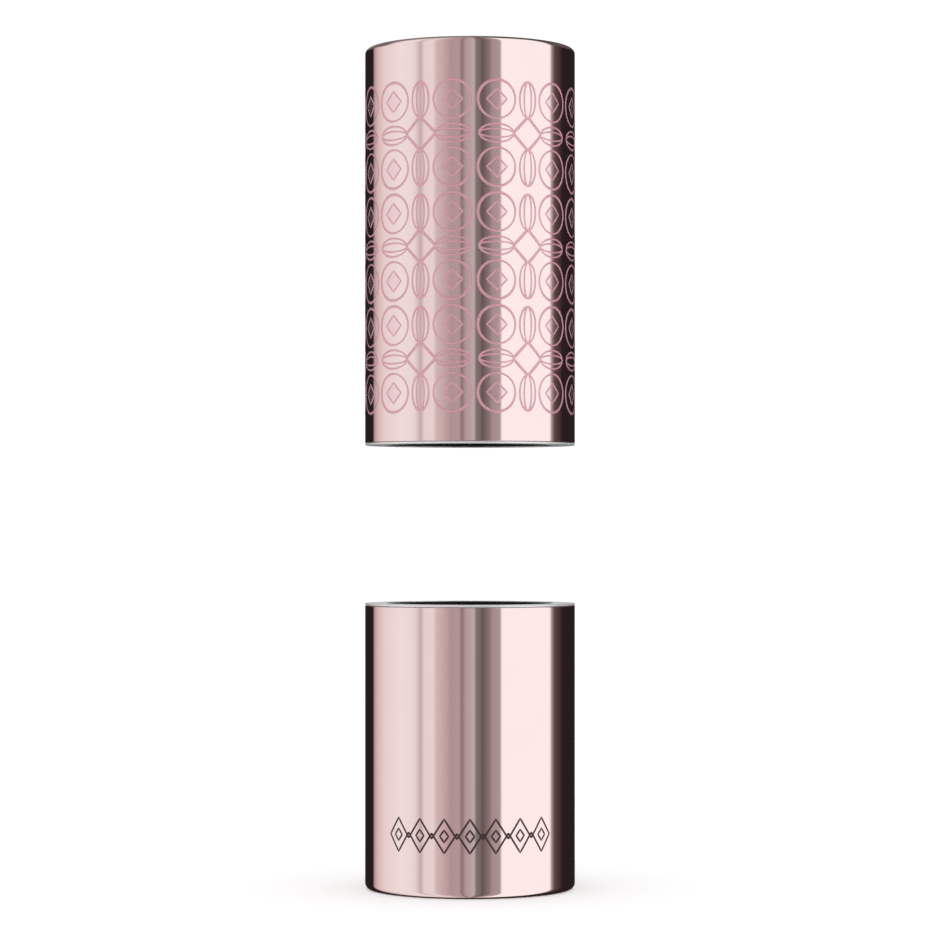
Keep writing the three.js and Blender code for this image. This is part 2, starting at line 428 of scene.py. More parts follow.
# %% [markdown]
# The mouth rings are turned aluminium under a milky satin lacquer, so half of what they
# show is plain pale grey and half is mirror. A turning tool leaves rings round the axis, so
# the grain depends only on the distance from the axis and the level.

# %% Silver trim
TRIM_MARKS = 0.06            # size of the tool marks, in millimetres


def turned_lines(nodes, level, radius, pitch):
    """Fine tool marks: noise along the radius and the level, the same all the way round."""
    return grain(nodes, nodes.join_xyz(radius * MM, level * MM, 0.0), 1 / pitch, detail=2.0)


def silver_trim():
    material, nodes = new_finish("silver_trim")
    place, level, radius = place_on_piece(nodes)
    lines = turned_lines(nodes, level, radius, TRIM_MARKS)
    cloud = grain(nodes, place, 0.8)
    tone = nodes.mix(lines, rgb(0.72, 0.725, 0.735), rgb(0.82, 0.82, 0.83))
    roughness = 0.22 + lines * 0.10 + cloud * 0.06
    close_finish(nodes, tone, roughness, bumped(nodes, lines, 0.0004), metallic=0.45)
    return material


keep("silver_trim", silver_trim())

# %% [markdown]
# The liners are moulded in black polypropylene: semi-gloss, with the faint orange-peel of a
# polished mould, slightly matter flow clouds, and a little dust. Inside a narrow mouth they
# read as nearly pure black.

# %% Black liner plastic
def black_liner():
    material, nodes = new_finish("black_liner")
    place, *_ = place_on_piece(nodes)
    peel = grain(nodes, place, 3.0, detail=3.0)
    flow = grain(nodes, stretched(nodes, place, z=0.3), 0.35)
    dust = nodes.ramp_between(0.70, 0.78, grain(nodes, place, 11.0, detail=1.0))
    tone = nodes.mix(flow, rgb(0.0045, 0.0045, 0.005), rgb(0.009, 0.009, 0.0095))
    tone = nodes.mix(dust * 0.25, tone, rgb(0.05, 0.05, 0.048))
    roughness = 0.34 + flow * 0.12 + dust * 0.2
    close_finish(nodes, tone, roughness, bumped(nodes, peel, 0.002), Specular_IOR_Level=0.25)
    return material


keep("black_liner", black_liner())

# %% [markdown]
# The refill socket is dark grey acetal, a waxy engineering plastic, satin from a
# spark-eroded mould. Its snap fingers are rubbed a little paler along the top.

# %% Socket plastic
RUBBED_REACH = 1.2           # how far down the fingers are rubbed


def socket_plastic():
    material, nodes = new_finish("socket_plastic")
    place, level, _ = place_on_piece(nodes)
    spark = grain(nodes, place, 6.0, detail=4.0, rough=0.6)
    rubbed = nodes.ramp_between(socket_top - RUBBED_REACH, socket_top, level)
    rubbed = rubbed * grain(nodes, place, 1.4)
    tone = nodes.mix(spark, rgb(0.055, 0.056, 0.060), rgb(0.075, 0.076, 0.080))
    tone = nodes.mix(rubbed, tone, rgb(0.13, 0.13, 0.135))
    roughness = 0.50 + spark * 0.12 - rubbed * 0.12
    close_finish(nodes, tone, roughness, bumped(nodes, spark, 0.004))
    return material


keep("socket_plastic", socket_plastic())

# %% [markdown]
# The weights are plain steel discs, faced on a lathe and lightly oiled. They are closed in
# by shell and liner, but they are finished all the same, because the model can be opened.

# %% Weight steel
FACING_MARKS = 0.12          # coarser than on the trim, because a weight isn't seen


def weight_steel():
    material, nodes = new_finish("weight_steel")
    place, level, radius = place_on_piece(nodes)
    lines = turned_lines(nodes, level, radius, FACING_MARKS)
    oil = grain(nodes, place, 0.5, detail=3.0)
    tone = nodes.mix(oil, rgb(0.45, 0.46, 0.48), rgb(0.58, 0.585, 0.59))
    tone = nodes.mix(lines * 0.4, tone, rgb(0.34, 0.34, 0.35))
    close_finish(nodes, tone, 0.26 + oil * 0.16, bumped(nodes, lines, 0.003), metallic=1.0)
    return material


keep("weight_steel", weight_steel())

# %% [markdown]
# The label under the base is a blank round of white film. Film has a faint embossed tooth
# and yellows a touch towards its cut edge.

# %% Blank label film
YELLOWED_REACH = 0.9         # width of the yellowed rim


def blank_label():
    material, nodes = new_finish("blank_label")
    place, _, radius = place_on_piece(nodes)
    tooth = grain(nodes, place, 14.0, detail=3.0)
    cloud = grain(nodes, place, 0.5)
    rim = nodes.ramp_between(label_radius - YELLOWED_REACH, label_radius, radius)
    tone = nodes.mix(cloud, rgb(0.80, 0.785, 0.76), rgb(0.86, 0.85, 0.83))
    tone = nodes.mix(rim * 0.5, tone, rgb(0.70, 0.66, 0.60))
    close_finish(nodes, tone, 0.42 + tooth * 0.12, bumped(nodes, tooth, 0.003))
    return material


keep("blank_label", blank_label())

# %% [markdown]
# The ornament's lines are filled with lacquer: a translucent pink with fine metallic flake
# on the cap, and an opaque warm dark grey on the base. Lacquer pools in its groove, so its
# tone drifts, and flake gives it a fine sparkle.

# %% Lacquers
def lacquer(name, thin_tone, deep_tone, shine, **constants):
    material, nodes = new_finish(name)
    place, *_ = place_on_piece(nodes)
    pooled = grain(nodes, place, 0.9, detail=3.0)
    flake = nodes.ramp_between(0.52, 0.72, grain(nodes, place, 16.0, detail=2.0))
    tone = nodes.mix(pooled, thin_tone, deep_tone)
    tone = nodes.mix(flake * 0.25, tone, rgb(*[min(1.0, part * 1.25) for part in thin_tone[:3]]))
    close_finish(nodes, tone, shine + flake * 0.10, bumped(nodes, flake, 0.0006), **constants)
    return material


def tinted_metal():
    """The little square fields: the same metal, etched satin and washed with pink."""
    material, nodes = new_finish("tinted_metal")
    place, *_ = place_on_piece(nodes)
    etched = grain(nodes, place, 7.0, detail=3.0)
    wash = grain(nodes, place, 1.1, detail=2.0)
    tone = nodes.mix(wash, rgb(0.95, 0.74, 0.77), rgb(0.91, 0.68, 0.72))
    close_finish(nodes, tone, 0.06 + etched * 0.05, bumped(nodes, etched, 0.00001), metallic=0.95)
    return material


keep("inlay_pink", lacquer("inlay_pink", rgb(0.70, 0.35, 0.42), rgb(0.63, 0.28, 0.35), 0.20,
                           metallic=0.25, IOR=1.75, Specular_IOR_Level=1.0,
                           Coat_Weight=0.5, Coat_Roughness=0.1))
keep("tinted_metal", tinted_metal())
keep("inlay_dark", lacquer("inlay_dark", rgb(0.056, 0.030, 0.028), rgb(0.038, 0.018, 0.017),
                           0.30, Specular_IOR_Level=0.3))

# %% [markdown]
# ## Shells
# Both shells are drawn cups: a flat closed end, a rounded edge, and a straight wall that
# stops just short of the mouth, where the silver ring covers its cut edge. A drawn cup is
# the same all the way round, so it is turned. The base has a shallow recess pressed into
# its underside for the label.

# %% Turn the shells
SHELL_WALL = 0.5
CAP_FILLET = 0.5
BASE_FILLET = 0.6
CUT_EDGE = 0.05
INSIDE_FILLET = 0.3
CAP_TOP_THICK = 0.7
BASE_FLOOR_THICK = 0.95
RECESS_RADIUS = 8.6
RECESS_DEPTH = 0.35
HAIR = 0.001                 # keeps rounding errors inside the CAD box

shell_bore = case_radius - SHELL_WALL
cap_shell = turn("cap_shell_fine", finishes["rose_gold_metal"], [
    (0, cap_top - CAP_TOP_THICK),
    (shell_bore, cap_top - CAP_TOP_THICK, INSIDE_FILLET),
    (shell_bore, cap_edge),
    (shell_radius, cap_edge, CUT_EDGE),
    (shell_radius, cap_top - HAIR, CAP_FILLET),
    (0, cap_top - HAIR),
])
settle(cap_shell, "cap", "rose_gold_metal", "cap_shell")

base_shell = turn("base_shell_fine", finishes["rose_gold_metal"], [
    (0, RECESS_DEPTH),
    (RECESS_RADIUS, RECESS_DEPTH, 0.08),
    (RECESS_RADIUS, base_floor, 0.12),
    (shell_radius, base_floor, BASE_FILLET),
    (shell_radius, base_edge, CUT_EDGE),
    (shell_bore, base_edge),
    (shell_bore, BASE_FLOOR_THICK, INSIDE_FILLET),
    (0, BASE_FLOOR_THICK),
])
settle(base_shell, "base", "rose_gold_metal", "base_shell")

# %% [markdown]
# ## Mouth rings
# The ring closes the gap between shell and liner. Its flange ends in a fine nose at the
# bore, so the black liner begins right behind the silver face. One outline serves both
# mouths: `inward` says which way the inside of the cup lies.

# %% Turn the mouth rings
RING_BORE = 8.55
RING_OUTSIDE = shell_radius - 0.01
RING_LIP = 0.2
RING_FLANGE = 0.7
RING_NOSE = 0.05
RING_SKIRT = 0.4
RING_DEPTH = 3.0


def mouth_ring(name, mouth, inward):
    def level(depth):
        return mouth + inward * depth
    skirt_inside = insert_radius - RING_SKIRT
    taper = RING_FLANGE - RING_NOSE
    return turn(name, finishes["silver_trim"], [
        (RING_BORE, level(0), 0.015),
        (RING_OUTSIDE, level(0), 0.07),
        (RING_OUTSIDE, level(RING_LIP), 0.03),
        (insert_radius, level(RING_LIP)),
        (insert_radius, level(RING_DEPTH)),
        (skirt_inside, level(RING_DEPTH)),
        (skirt_inside, level(RING_FLANGE)),
        (RING_BORE + taper, level(RING_FLANGE)),
        (RING_BORE, level(RING_NOSE)),
    ])


settle(mouth_ring("cap_mouth_ring_fine", cap_mouth, 1), "cap", "silver_trim", "cap_mouth_ring")
settle(mouth_ring("base_mouth_ring_fine", base_mouth, -1), "base", "silver_trim", "base_mouth_ring")

# %% [markdown]
# ## Liners
# Each liner is a moulded cup inside the shell. Raised lands centre it, and its nose fits
# behind the ring. The base's floor has a low round pad, which the refill's foot stands on.
# In the cap, small ribs near the mouth grip the refill's tube.

# %% Turn the liners
LINER_BORE = 8.5
LINER_WALL = 1.1
NOSE_DEPTH = 0.1
NOSE_WIDTH = 0.03
FIT_GAP = 0.15
LAND_HEIGHT = 3.0
LAND_STEP = 0.2
SEAT_PAD_RADIUS = 6.5
SEAT_PAD_HEIGHT = 0.1


def liner_corners(length):
    """A liner from its closed end round to its closed end, as (radius, depth, rounding)."""
    clear = RING_FLANGE + FIT_GAP
    skirt_side = insert_radius - RING_SKIRT - FIT_GAP
    step = RING_DEPTH + FIT_GAP
    wall = LINER_BORE + LINER_WALL
    return [
        (0, length - LINER_WALL),
        (LINER_BORE, length - LINER_WALL, 0.5),
        (LINER_BORE, NOSE_DEPTH),
        (LINER_BORE + NOSE_WIDTH, NOSE_DEPTH),
        (LINER_BORE + NOSE_WIDTH + clear - NOSE_DEPTH, clear),
        (skirt_side, clear),
        (skirt_side, step),
        (insert_radius, step, 0.1),
        (insert_radius, step + LAND_HEIGHT, 0.1),
        (wall, step + LAND_HEIGHT + LAND_STEP),
        (wall, length - LAND_HEIGHT - LAND_STEP),
        (insert_radius, length - LAND_HEIGHT, 0.1),
        (insert_radius, length, 0.2),
        (0, length),
    ]


def liner(name, mouth, inward, corners):
    return turn(name, finishes["black_liner"], [
        (corner[0], mouth + inward * corner[1], *corner[2:]) for corner in corners])


cap_liner = liner("cap_liner_turned", cap_mouth, 1, liner_corners(cap_ceiling - cap_mouth))
base_length = base_mouth - base_seat
seat_depth = base_length - LINER_WALL
seat_pad = [(0, seat_depth - SEAT_PAD_HEIGHT), (SEAT_PAD_RADIUS, seat_depth - SEAT_PAD_HEIGHT, 0.04),
            (SEAT_PAD_RADIUS, seat_depth)]
base_liner = liner("base_liner_fine", base_mouth, -1, seat_pad + liner_corners(base_length)[1:])
settle(base_liner, "base", "black_liner", "base_liner")

# %% [markdown]
# The ribs repeat round the bore, so Geometry Nodes place them: one rounded bar, swept along
# a short upright line that tapers at both ends, set on the points of a circle. The recipe
# is used for the cap's grip ribs and for the socket's drive ribs.

# %% The rib recipe
ribs = Recipe("ribs round a bore", **{"Count": 6, "Bore Radius": 0.0085, "Rib Radius": 0.0005,
                                      "Proud": 0.00015, "Foot Level": 0.0, "Rib Height": 0.009})
rib_foot = ribs.add("GeometryNodeCurvePrimitiveLine", {"mode": "DIRECTION"},
                    {"Start": ribs.join_xyz(0.0, 0.0, ribs.size("Foot Level")),
                     "Direction": (0.0, 0.0, 1.0), "Length": ribs.size("Rib Height")})
rib_line = ribs.add("GeometryNodeResampleCurve", {}, {"Curve": rib_foot, "Count": 13})
along = ribs.add("GeometryNodeSplineParameter")
middle = 1 - ribs.math("POWER", ribs.math("ABSOLUTE", along * 2 - 1), 8.0)
rib_section = ribs.add("GeometryNodeCurvePrimitiveCircle", {},
                       {"Resolution": 12, "Radius": ribs.size("Rib Radius")})
rib_bar = ribs.add("GeometryNodeCurveToMesh", {},
                   {"Curve": rib_line, "Profile Curve": rib_section,
                    "Scale": 0.25 + middle * 0.75, "Fill Caps": True})
rib_points = ribs.add("GeometryNodeMeshCircle", {},
                      {"Vertices": ribs.size("Count"),
                       "Radius": ribs.size("Bore Radius") + ribs.size("Rib Radius")
                       - ribs.size("Proud")}, "Mesh")
rib_set = ribs.add("GeometryNodeInstanceOnPoints", {}, {"Points": rib_points, "Instance": rib_bar})
rib_smooth = ribs.add("GeometryNodeSetShadeSmooth", {},
                      {"Geometry": ribs.add("GeometryNodeRealizeInstances", {}, {0: rib_set})})
ribs_and_body = ribs.add("GeometryNodeJoinGeometry", {}, {0: rib_smooth})
ribs.tree.links.new(ribs.source.socket, ribs_and_body.socket.node.inputs[0])
ribs.finished(ribs_and_body)


def reworked(piece, recipe, name, finish, **sizes):
    """Runs another recipe on a piece, which it uses up, and returns the new piece."""
    mesh = piece.data
    bpy.data.objects.remove(piece)
    return run_recipe(recipe, name, finish, mesh, **sizes)


GRIP_RIBS = {"Count": 6, "Bore Radius": LINER_BORE * MM, "Rib Radius": 0.5 * MM,
             "Proud": 0.15 * MM, "Foot Level": (cap_mouth + 1.2) * MM, "Rib Height": 9.0 * MM}
cap_liner = reworked(cap_liner, ribs, "cap_liner_fine", finishes["black_liner"], **GRIP_RIBS)
settle(cap_liner, "cap", "black_liner", "cap_liner")

# %% [markdown]
# ## Refill socket
# A ring at the bottom of the base takes the refill's foot. Slots cut its top into snap
# fingers with a bead inside, and ribs round its foot turn the refill with the base. The
# slots are cut by a boolean in Geometry Nodes, with one bar per slot.

# %% Turn, cut and rib the socket
SOCKET_WALL = 1.15
BEAD_PROUD = 0.2
BEAD_HEIGHT = 0.8
DRIVE_RIBS = 8
HALF_RIB_PITCH = math.pi / DRIVE_RIBS        # keeps the slots clear of the ribs
SLOT_BAR_LENGTH = 4.0        # long enough to cross the ring's wall

slots = Recipe("slots across a ring", **{"Count": 4, "Ring Radius": 0.008, "Slot Width": 0.0012,
                                         "Slot Depth": 0.0055, "Top Level": 0.0155})
slot_spots = slots.add("GeometryNodeMeshCircle", {},
                       {"Vertices": slots.size("Count"), "Radius": slots.size("Ring Radius")})
slot_number = slots.add("GeometryNodeInputIndex")
slot_bar = slots.add("GeometryNodeMeshCube", {}, {
    "Size": slots.join_xyz(SLOT_BAR_LENGTH * MM, slots.size("Slot Width"),
                           slots.size("Slot Depth") * 2)})
slot_turn = slots.join_xyz(0.0, 0.0, slot_number * math.tau / slots.size("Count"))
slot_bars = slots.add("GeometryNodeInstanceOnPoints", {},
                      {"Points": slot_spots, "Instance": slot_bar, "Rotation": slot_turn})
slot_bars = slots.add("GeometryNodeTransform", {}, {
    "Geometry": slot_bars,
    "Translation": slots.join_xyz(0.0, 0.0, slots.size("Top Level")),
    "Rotation": (0.0, 0.0, HALF_RIB_PITCH)})
slot_cut = slots.add("GeometryNodeMeshBoolean", {"operation": "DIFFERENCE", "solver": "EXACT"}, {
    "Mesh 1": slots.source,
    "Mesh 2": slots.add("GeometryNodeRealizeInstances", {}, {0: slot_bars})})
slots.finished(slot_cut)

socket_bore = socket_radius - SOCKET_WALL
socket_ring = turn("refill_socket_turned", finishes["socket_plastic"], [
    (socket_bore, socket_foot),
    (socket_radius, socket_foot, 0.1),
    (socket_radius, socket_top, 0.25),
    (socket_bore, socket_top, 0.15),
    (socket_bore - BEAD_PROUD, socket_top - BEAD_HEIGHT / 2, 0.15),
    (socket_bore, socket_top - BEAD_HEIGHT),
])
socket_cut = reworked(socket_ring, slots, "refill_socket_cut", finishes["socket_plastic"], **{
    "Ring Radius": (socket_radius - SOCKET_WALL / 2) * MM, "Top Level": socket_top * MM})
refill_socket = reworked(socket_cut, ribs, "refill_socket_fine", finishes["socket_plastic"], **{
    "Count": DRIVE_RIBS, "Bore Radius": socket_bore * MM, "Rib Radius": 0.45 * MM,
    "Proud": 0.5 * MM, "Foot Level": socket_foot * MM, "Rib Height": 3.0 * MM})
settle(refill_socket, "base", "socket_plastic", "refill_socket")

# %% [markdown]
# ## Label and weights
# The label is a thin round of film with a softly rounded cut edge. The weights keep their
# CAD shape, because nothing of them shows, and get their own finish.

# %% Label and weights
label = turn("bottom_label_fine", finishes["blank_label"], [
    (0, label_low),
    (label_radius, label_low, 0.04),
    (label_radius, label_high, 0.04),
    (0, label_high),
])
settle(label, "base", "blank_label", "bottom_label")

for weight in ("cap_weight", "base_weight"):
    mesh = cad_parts[weight].data
    mesh.materials.clear()
    mesh.materials.append(finishes["weight_steel"])
    print(f"{weight}: keeps its {len(mesh.polygons)} faces")

# %% [markdown]
# ## Medallion band
# The cap wears a band of square medallions, inlaid in thin lacquered lines. Each medallion
# is built flat from circles, squares and ellipses, quarter by quarter. The lines are swept
# into low bars, thicker away from the middle, as if drawn with a broad pen. The finished
# medallion is repeated in columns and rows, and only then is the whole band wrapped round
# the cap. Building it flat keeps every size readable.

# %% Bars swept along flat lines
BURIED = 0.06                # how far the bars reach into the metal
LEVEL_BAND = 1e-6            # a point of the section this close to the middle stays level


def swept(recipe, line, width, share=1.0):
    """Sweeps a low six-sided bar along a flat line, half of it buried in the metal. share
    lowers the bar's top, so that different lines cross at different levels."""
    upright = recipe.add("GeometryNodeSetCurveNormal", {"mode": "Z_UP"}, {"Curve": line})
    held = recipe.tree.nodes.new("GeometryNodeCaptureAttribute")
    held.capture_items.new("FLOAT", "width")
    recipe.tree.links.new(upright.socket, held.inputs[0])
    recipe.tree.links.new((width * 1.0).socket, held.inputs[1])
    section = recipe.add("GeometryNodeCurvePrimitiveCircle", {}, {"Resolution": 6, "Radius": 0.5})
    bar = recipe.add("GeometryNodeCurveToMesh", {}, {
        "Curve": Value(recipe, held.outputs[0]), "Profile Curve": section,
        "Scale": Value(recipe, held.outputs[1]), "Fill Caps": True})
    x, y, z = recipe.split(recipe.add("GeometryNodeInputPosition"))
    level = (z > LEVEL_BAND) * recipe.size("Relief") * share - (z < -LEVEL_BAND) * BURIED * MM
    return recipe.add("GeometryNodeSetPosition", {},
                      {"Geometry": bar, "Position": recipe.join_xyz(x, y, level)})


def moved(recipe, geometry, x, y, angle=0.0, scale=(1.0, 1.0, 1.0)):
    return recipe.add("GeometryNodeTransform", {}, {
        "Geometry": geometry, "Translation": recipe.join_xyz(x, y, 0.0),
        "Rotation": (0.0, 0.0, angle), "Scale": scale})


def gather(recipe, parts):
    joined = recipe.add("GeometryNodeJoinGeometry")
    for part in parts:
        recipe.tree.links.new(part.socket, joined.socket.node.inputs[0])
    return joined


def wrapped(recipe, geometry, centre_level):
    """Bends a flat pattern round the case: x becomes an arc, y a level, z a depth."""
    x, y, z = recipe.split(recipe.add("GeometryNodeInputPosition"))
    angle = x / recipe.size("Radius") + recipe.size("Turn")
    radius = recipe.size("Radius") + z
    place = recipe.join_xyz(radius * recipe.math("SINE", angle),
                            0 - radius * recipe.math("COSINE", angle),
                            y + centre_level)
    return recipe.add("GeometryNodeSetPosition", {}, {"Geometry": geometry, "Position": place})


print("bars reach", BURIED, "mm into the metal")

# %% [markdown]
# The quarter of a medallion holds a circle at its corner, a small square standing on its
# point inside the circle, a double leaf on the top side, and one side of the diamond in the
# middle. These are plain forms of traditional tile work. Turning the quarter four times
# gives the medallion. The squares are also filled with a thin satin field, a piece of its
# own.

# %% The medallion recipes
LAYOUT = {"Radius": 0.01072, "Turn": 0.0, "Columns": 6, "Rows": 3, "Row Pitch": 0.0112,
          "Level": 0.065, "Relief": 0.00003}
CIRCLE_SPOT, CIRCLE_SIZE = 0.300, 0.172      # these are all in shares of the cell
SQUARE_SPOT, SQUARE_SIZE = 0.300, 0.130
LEAF_SPOT, LEAF_HALF = 0.302, 0.158
LEAF_WIDTHS = 0.52, 0.24                     # outer and inner leaf, to its length
HEART_REACH = 0.150                          # from the middle to a point of its diamond
FIELD_SHARE = 0.3                            # a field's height, to the lines' height


def laid_out(recipe, quarter):
    """Turns a quarter into a medallion, repeats it, and wraps the band round the case."""
    corners = recipe.add("GeometryNodeMeshLine", {}, {"Count": 4, "Offset": (0.0, 0.0, 0.0)})
    turns = recipe.join_xyz(0.0, 0.0, recipe.add("GeometryNodeInputIndex") * (math.pi / 2))
    medallion = recipe.add("GeometryNodeInstanceOnPoints", {},
                           {"Points": corners, "Instance": quarter, "Rotation": turns})
    columns, rows = recipe.size("Columns"), recipe.size("Rows")
    spots = recipe.add("GeometryNodeMeshGrid", {}, {
        "Vertices X": columns, "Vertices Y": rows,
        "Size X": cell_of(recipe) * (columns - 1), "Size Y": recipe.size("Row Pitch") * (rows - 1)})
    band_flat = recipe.add("GeometryNodeInstanceOnPoints", {}, {
        "Points": spots,
        "Instance": recipe.add("GeometryNodeRealizeInstances", {}, {0: medallion})})
    solid = recipe.add("GeometryNodeRealizeInstances", {}, {0: band_flat})
    recipe.finished(wrapped(recipe, solid, recipe.size("Level")))


def cell_of(recipe):
    return recipe.size("Radius") * math.tau / recipe.size("Columns")


band = Recipe("medallion band", **LAYOUT, **{"Line Width": 0.00024})
cell = cell_of(band)


def broadened(share, swell):
    """A line's width: share of the set width, and thinner towards the medallion's middle."""
    reach = band.add("ShaderNodeVectorMath", {"operation": "LENGTH"},
                     {0: band.add("GeometryNodeInputPosition")}, "Value")
    return band.size("Line Width") * share * (1 - swell + swell * reach / (cell * 0.5))


def straight(start, end, cuts):
    """A straight flat line between two points given in shares of the cell."""
    line = band.add("GeometryNodeCurvePrimitiveLine", {}, {
        "Start": band.join_xyz(cell * start[0], cell * start[1], 0.0),
        "End": band.join_xyz(cell * end[0], cell * end[1], 0.0)})
    return band.add("GeometryNodeSubdivideCurve", {}, {"Curve": line, "Cuts": cuts})


def circle(radius):
    return band.add("GeometryNodeCurvePrimitiveCircle", {},
                    {"Resolution": 44, "Radius": cell * radius})


def leaf(width):
    """A long closed oval that points away from the middle."""
    return moved(band, circle(LEAF_HALF), 0.0, cell * LEAF_SPOT, scale=(width, 1.0, 1.0))


corner_circle = moved(band, circle(CIRCLE_SIZE), cell * CIRCLE_SPOT, cell * CIRCLE_SPOT)
corner_square = moved(band, band.add(
    "GeometryNodeSubdivideCurve", {}, {"Cuts": 3, "Curve": band.add(
        "GeometryNodeCurvePrimitiveQuadrilateral", {},
        {"Width": cell * SQUARE_SIZE, "Height": cell * SQUARE_SIZE})}),
    cell * SQUARE_SPOT, cell * SQUARE_SPOT, angle=math.pi / 4)
leaves = [leaf(width) for width in LEAF_WIDTHS]
heart_side = straight((0.0, HEART_REACH), (HEART_REACH, 0.0), 7)

laid_out(band, gather(band, [
    swept(band, corner_circle, broadened(1.05, 0.6), 1.00),
    swept(band, corner_square, broadened(0.90, 0.2), 0.82),
    swept(band, leaves[0], broadened(0.95, 0.4), 0.88),
    swept(band, leaves[1], broadened(0.85, 0.4), 0.94),
    swept(band, heart_side, broadened(1.2, 0.0), 0.70),
]))

fields = Recipe("square fields", **LAYOUT)
field_side = cell_of(fields) * SQUARE_SIZE
field_top = fields.size("Relief") * FIELD_SHARE
field = fields.add("GeometryNodeMeshCube", {}, {
    "Size": fields.join_xyz(field_side, field_side, field_top + BURIED * MM),
    "Vertices X": 9, "Vertices Y": 9})
laid_out(fields, fields.add("GeometryNodeTransform", {}, {
    "Geometry": field, "Translation": fields.join_xyz(
        cell_of(fields) * SQUARE_SPOT, cell_of(fields) * SQUARE_SPOT,
        (field_top - BURIED * MM) * 0.5),
    "Rotation": (0.0, 0.0, math.pi / 4)}))


def outward(piece):
    """Welds each closed bar's points and turns its faces outwards."""
    shape = bmesh.new()
    shape.from_mesh(piece.data)
    bmesh.ops.remove_doubles(shape, verts=shape.verts, dist=WELD)
    bmesh.ops.recalc_face_normals(shape, faces=shape.faces)
    shape.to_mesh(piece.data)
    shape.free()
    return piece


BAND_TURN = 2.5              # degrees
BAND_LEVEL = 19.65           # its middle, above the cap's mouth
BAND_PLACE = {"Radius": shell_radius * MM, "Turn": math.radians(BAND_TURN),
              "Level": (cap_mouth + BAND_LEVEL) * MM, "Relief": LINE_RELIEF * MM}
medallion_band = outward(run_recipe(
    band, "cap_medallion_band", finishes["inlay_pink"], **BAND_PLACE))
settle(medallion_band, "cap", "inlay_pink")
square_fields = outward(run_recipe(
    fields, "cap_square_fields", finishes["tinted_metal"], **BAND_PLACE))
settle(square_fields, "cap", "inlay_pink")

# %% [markdown]
# ## Frieze on the base
# A short dark frieze marks the front of the base: open diamonds side by side, with a small
# square standing on its point between each two. It is built and wrapped like the band.

# %% The frieze recipe
frieze = Recipe("diamond frieze", **{
    "Radius": 0.01072, "Turn": 0.0, "Count": 7, "Pitch": 0.0026, "Height": 0.0034,
    "Level": 0.00625, "Line Width": 0.0002, "Relief": 0.00001})
pitch = frieze.size("Pitch")
tall = frieze.size("Height")
OUTER_DIAMOND = 0.86                         # its width, in shares of the pitch
INNER_DIAMOND = (0.34, 0.36)                 # in shares of the pitch and of the height
STUD_SIZE = 0.17


def diamond(width, height, cuts):
    points = {"Point 1": frieze.join_xyz(0.0, height * 0.5, 0.0),
              "Point 2": frieze.join_xyz(width * 0.5, 0.0, 0.0),
              "Point 3": frieze.join_xyz(0.0, height * -0.5, 0.0),
              "Point 4": frieze.join_xyz(width * -0.5, 0.0, 0.0)}
    line = frieze.add("GeometryNodeCurvePrimitiveQuadrilateral", {"mode": "POINTS"}, points)
    return frieze.add("GeometryNodeSubdivideCurve", {}, {"Curve": line, "Cuts": cuts})


frieze_width = frieze.size("Line Width")
motif = gather(frieze, [
    swept(frieze, diamond(pitch * OUTER_DIAMOND, tall, 7), frieze_width, 1.0),
    swept(frieze, diamond(pitch * INNER_DIAMOND[0], tall * INNER_DIAMOND[1], 2),
          frieze_width, 0.8),
])
stud = moved(frieze, swept(frieze, diamond(pitch * STUD_SIZE, pitch * STUD_SIZE, 1),
                           frieze_width * 1.3, 0.9), pitch * 0.5, 0.0)
count = frieze.size("Count")


def in_a_row(instance, number):
    """Repeats an instance along x, one pitch apart, from the frieze's left end."""
    spots = frieze.add("GeometryNodeMeshLine", {}, {
        "Count": number, "Start Location": frieze.join_xyz(pitch * (count - 1) * -0.5, 0.0, 0.0),
        "Offset": frieze.join_xyz(pitch, 0.0, 0.0)})
    return frieze.add("GeometryNodeInstanceOnPoints", {}, {"Points": spots, "Instance": instance})


frieze_parts = gather(frieze, [in_a_row(motif, count), in_a_row(stud, count - 1)])
flat_frieze = frieze.add("GeometryNodeRealizeInstances", {}, {0: frieze_parts})
frieze.finished(wrapped(frieze, flat_frieze, frieze.size("Level")))

FRIEZE_LEVEL = 6.25          # its middle, above the foot of the base
FRIEZE_RELIEF = 0.012
base_frieze = outward(run_recipe(frieze, "base_diamond_frieze", finishes["inlay_dark"], **{
    "Radius": shell_radius * MM, "Level": (base_floor + FRIEZE_LEVEL) * MM,
    "Relief": FRIEZE_RELIEF * MM}))
settle(base_frieze, "base", "inlay_dark")

# %% [markdown]
# ## Studio
# A mirror finish only looks like metal when it has something to reflect. The studio is a
# white tent with tall upright cards: a wide white card right of the camera, black cards at
# both sides, and grey ones in between, warmer where they are darker. A dark flag overhead
# draws the line round the cap's top edge, a softbox behind it lights the top, and a dark
# table draws the line under the base. All of it is painted in the World by direction, so
# nothing blocks another view. Three kinds of ray see three things: the camera sees plain
# white, matt surfaces see an even dome, and glossy surfaces see the cards.
#
# `lean` says how far a mirror has to lean back to show a direction to the camera: 0 for an
# upright wall, 1 for a level top. The cards end at a set lean, above and below, because
# that draws a line of even thickness along a rounded edge. Behind the case the flag comes
# lower, so that the top still reads as metal from the side.

